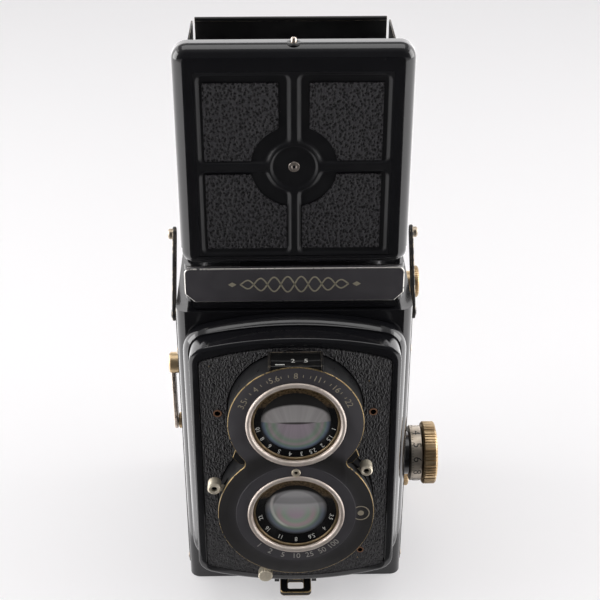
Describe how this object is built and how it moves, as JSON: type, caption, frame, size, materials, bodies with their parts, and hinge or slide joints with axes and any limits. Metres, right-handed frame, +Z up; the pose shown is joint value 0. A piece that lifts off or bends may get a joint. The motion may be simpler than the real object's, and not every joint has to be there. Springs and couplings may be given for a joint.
{
  "type": "twin lens reflex camera",
  "caption": "Box-shaped roll-film reflex camera with a viewing lens above a taking lens on a sliding front, folding top hood, side knobs and crank, and a hinged back.",
  "frame": {"origin": "middle of the base, where the camera stands", "axes": "+Z up, the lenses look along -Y, +X is to the right of someone facing the lenses"},
  "size_m": [0.0985, 0.0991, 0.2104],
  "materials": {
    "enamel": "gloss black baked enamel",
    "satin": "satin dark grey lacquer, brass worn through at the edges",
    "leather": "grained black leather",
    "nickel": "nickel plate, dulled",
    "brass": "bare brass, tarnished",
    "steel": "plain steel",
    "glass": "polished glass",
    "mirror": "silvered glass",
    "red_glass": "deep red glass"
  },
  "bodies": {
    "body": {"body_shell": "enamel", "light_cone": "enamel", "film_gate": "enamel", "reflex_mirror": "mirror", "ground_glass": "glass", "screen_frame": "satin", "hood_base": "enamel", "nameplate": "satin", "lid_pin": "steel", "left_flap_pin": "steel", "right_flap_pin": "steel", "rear_flap_pin": "steel", "back_hinge_pin": "steel", "front_surround": "enamel", "light_trap": "enamel", "strap_lug_left": "brass", "strap_lug_right": "brass"},
    "back": {"back_cover": "enamel", "pressure_plate": "steel", "pressure_spring": "steel", "red_window": "red_glass", "tripod_bush": "steel"},
    "latch": {"back_latch": "enamel"},
    "lens_standard": {"front_panel": "enamel", "front_leather": "leather", "focus_rack": "steel", "lens_cover": "satin", "peep_window": "glass", "shutter_housing": "enamel", "viewing_ring": "nickel", "viewing_barrel": "enamel", "viewing_glass": "glass", "taking_ring": "nickel", "taking_barrel": "enamel", "taking_glass": "glass"},
    "aperture": {"aperture_lever": "nickel"},
    "speed": {"speed_lever": "nickel"},
    "release": {"release_lever": "nickel"},
    "focus_drive": {"focus_shaft": "steel", "focus_scale": "nickel", "focus_knob": "brass"},
    "crank": {"crank_arm": "nickel"},
    "handle": {"crank_handle": "brass"},
    "upper_knob": {"upper_spool_knob": "brass"},
    "lower_knob": {"lower_spool_knob": "brass"},
    "supply": {"supply_spool": "steel"},
    "take_up": {"take_up_spool": "steel"},
    "roller_low": {"lower_roller": "steel"},
    "roller_high": {"upper_roller": "steel"},
    "lid": {"lid": "enamel", "lid_leather": "leather"},
    "catch": {"lid_catch": "nickel"},
    "magnifier": {"magnifier_frame": "satin", "magnifier_lens": "glass"},
    "flap_left": {"left_flap": "satin"},
    "flap_right": {"right_flap": "satin"},
    "flap_rear": {"rear_flap": "satin"}
  },
  "joints": [
    {"name": "lid_fold", "type": "hinge", "parent": "body", "child": "lid", "pos_m": [0, -0.0329, 0.1376], "axis": [-1, 0, 0], "range_deg": [0, 31]},
    {"name": "catch_press", "type": "slide", "parent": "lid", "child": "catch", "axis": [0, 0, -1], "range_m": [0, 0.0012], "stiffness_N_per_m": 300},
    {"name": "magnifier_swing", "type": "hinge", "parent": "lid", "child": "magnifier", "pos_m": [0, -0.0323, 0.201], "axis": [1, 0, 0], "range_deg": [0, 90]},
    {"name": "left_flap_fold", "type": "hinge", "parent": "body", "child": "flap_left", "pos_m": [-0.0346, 0, 0.1351], "axis": [0, 1, 0], "range_deg": [0, 90]},
    {"name": "right_flap_fold", "type": "hinge", "parent": "body", "child": "flap_right", "pos_m": [0.0346, 0, 0.137], "axis": [0, -1, 0], "range_deg": [0, 90]},
    {"name": "rear_flap_fold", "type": "hinge", "parent": "body", "child": "flap_rear", "pos_m": [0, 0.0323, 0.1389], "axis": [1, 0, 0], "range_deg": [0, 90]},
    {"name": "back_open", "type": "hinge", "parent": "body", "child": "back", "pos_m": [0, 0.0361, 0.1156], "axis": [1, 0, 0], "range_deg": [0, 110]},
    {"name": "latch_swing", "type": "hinge", "parent": "body", "child": "latch", "pos_m": [0, -0.0397, 0.0022], "axis": [1, 0, 0], "range_deg": [0, 100]},
    {"name": "focus_slide", "type": "slide", "parent": "body", "child": "lens_standard", "axis": [0, -1, 0], "range_m": [0, 0.0068]},
    {"name": "focus_turn", "type": "hinge", "parent": "body", "child": "focus_drive", "pos_m": [0.04, -0.023, 0.0468], "axis": [1, 0, 0], "range_deg": [0, 170]},
    {"name": "aperture_set", "type": "hinge", "parent": "lens_standard", "child": "aperture", "pos_m": [0, -0.0579, 0.0494], "axis": [0, -1, 0], "range_deg": [-6, 46]},
    {"name": "speed_set", "type": "hinge", "parent": "lens_standard", "child": "speed", "pos_m": [0, -0.0567, 0.0494], "axis": [0, -1, 0], "range_deg": [-54, 8]},
    {"name": "release_press", "type": "hinge", "parent": "lens_standard", "child": "release", "pos_m": [0, -0.0555, 0.0494], "axis": [0, -1, 0], "range_deg": [-20, 20], "stiffness_Nm_per_rad": 0.01},
    {"name": "crank_turn", "type": "hinge", "parent": "body", "child": "crank", "pos_m": [-0.042, -0.0105, 0.08], "axis": [1, 0, 0], "continuous": true},
    {"name": "handle_spin", "type": "hinge", "parent": "crank", "child": "handle", "pos_m": [-0.042, -0.0105, 0.054], "axis": [1, 0, 0], "continuous": true},
    {"name": "upper_knob_pull", "type": "slide", "parent": "body", "child": "upper_knob", "axis": [1, 0, 0], "range_m": [0, 0.006], "stiffness_N_per_m": 200},
    {"name": "lower_knob_pull", "type": "slide", "parent": "body", "child": "lower_knob", "axis": [1, 0, 0], "range_m": [0, 0.006], "stiffness_N_per_m": 200},
    {"name": "supply_turn", "type": "hinge", "parent": "body", "child": "supply", "pos_m": [0, 0.0095, 0.0142], "axis": [1, 0, 0], "continuous": true},
    {"name": "take_up_turn", "type": "hinge", "parent": "body", "child": "take_up", "pos_m": [0, 0.0215, 0.0953], "axis": [1, 0, 0], "continuous": true},
    {"name": "lower_roller_turn", "type": "hinge", "parent": "body", "child": "roller_low", "pos_m": [0, 0.0213, 0.018], "axis": [1, 0, 0], "continuous": true},
    {"name": "upper_roller_turn", "type": "hinge", "parent": "body", "child": "roller_high", "pos_m": [0, 0.0213, 0.081], "axis": [1, 0, 0], "continuous": true}
  ],
  "couplings": [
    {"joint": "focus_turn", "follows": "focus_slide", "rad_per_m": 425.5},
    {"joint": "crank_turn", "follows": "take_up_turn", "ratio": 1}
  ]
}
